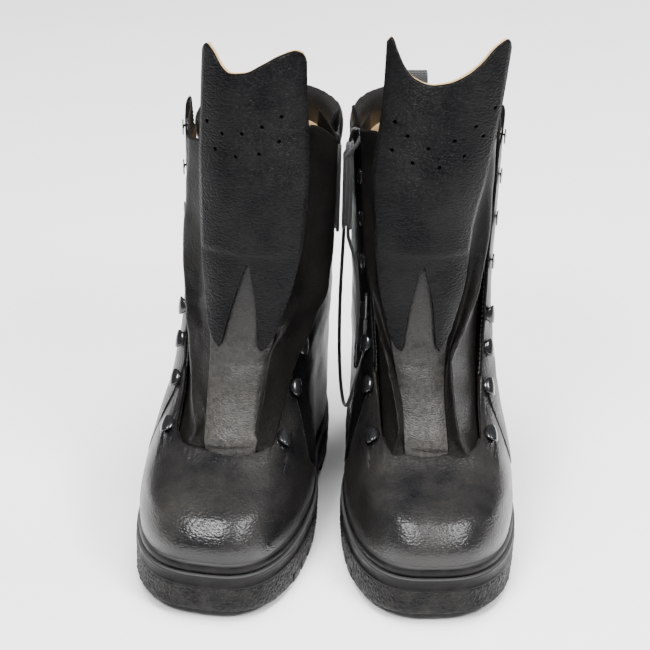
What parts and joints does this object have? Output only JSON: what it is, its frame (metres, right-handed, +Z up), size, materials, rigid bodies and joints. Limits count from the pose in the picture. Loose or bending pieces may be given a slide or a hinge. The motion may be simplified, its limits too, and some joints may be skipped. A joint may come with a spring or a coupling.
{
  "type": "fire boots",
  "caption": "Pair of tall black leather fire boots with unlaced fronts, stiff perforated tongues, bellows, lugs and hooks, and cleated soles.",
  "frame": {"origin": "middle of the pair's footprint, on the floor", "axes": "+Z up, toes towards -Y, wearer's left boot towards +X"},
  "size_m": [0.2461, 0.3145, 0.3444],
  "materials": {
    "black_leather": "semi-gloss grained",
    "soft_leather": "satin grained",
    "tan_lining": "matt",
    "tread_rubber": "textured",
    "band_rubber": "satin",
    "steel": "brushed",
    "black_metal": "gloss black",
    "board": "matt fibreboard",
    "footbed_felt": "matt felt",
    "webbing": "woven",
    "lace_cord": "braided",
    "aglet_plastic": "gloss"
  },
  "bodies": {
    "right_boot": {"right_outsole": "tread_rubber", "right_midsole": "band_rubber", "right_welt": "band_rubber", "right_puncture_plate": "steel", "right_insole_board": "board", "right_footbed": "footbed_felt", "right_vamp": "black_leather", "right_medial_quarter": "black_leather", "right_lateral_quarter": "black_leather", "right_backstay": "black_leather", "right_toe_cap": "steel", "right_heel_counter": "board", "right_lining": "tan_lining", "right_collar": "soft_leather", "right_pull_loop": "webbing", "right_medial_bellows": "soft_leather", "right_lateral_bellows": "soft_leather", "right_medial_lugs": "black_metal", "right_lateral_lugs": "black_metal", "right_hooks": "black_metal", "right_rivets": "steel", "right_lace": "lace_cord", "right_lace_hank": "lace_cord", "right_aglet": "aglet_plastic"},
    "right_tongue": {"right_tongue": "soft_leather", "right_tongue_lining": "tan_lining", "right_tongue_shield": "black_leather"},
    "left_boot": {"left_outsole": "tread_rubber", "left_midsole": "band_rubber", "left_welt": "band_rubber", "left_puncture_plate": "steel", "left_insole_board": "board", "left_footbed": "footbed_felt", "left_vamp": "black_leather", "left_medial_quarter": "black_leather", "left_lateral_quarter": "black_leather", "left_backstay": "black_leather", "left_toe_cap": "steel", "left_heel_counter": "board", "left_lining": "tan_lining", "left_collar": "soft_leather", "left_pull_loop": "webbing", "left_medial_bellows": "soft_leather", "left_lateral_bellows": "soft_leather", "left_medial_lugs": "black_metal", "left_lateral_lugs": "black_metal", "left_hooks": "black_metal", "left_rivets": "steel", "left_lace": "lace_cord", "left_lace_tail": "lace_cord", "left_lace_hank": "lace_cord", "left_aglet": "aglet_plastic", "left_aglet_inner": "aglet_plastic"},
    "left_tongue": {"left_tongue": "soft_leather", "left_tongue_lining": "tan_lining", "left_tongue_shield": "black_leather"}
  },
  "joints": [
    {"name": "right_tongue_bend", "type": "hinge", "parent": "right_boot", "child": "right_tongue", "pos_m": [-0.07208, -0.09174, 0.088], "axis": [0.9863, -0.165, 0], "range_deg": [0, 30]},
    {"name": "left_tongue_bend", "type": "hinge", "parent": "left_boot", "child": "left_tongue", "pos_m": [0.0699, -0.08868, 0.088], "axis": [0.9965, 0.0837, 0], "range_deg": [0, 30]},
    {"name": "left_boot_lift", "type": "slide", "parent": "right_boot", "child": "left_boot", "axis": [0, 0, 1], "range_m": [0, 0.35]}
  ]
}
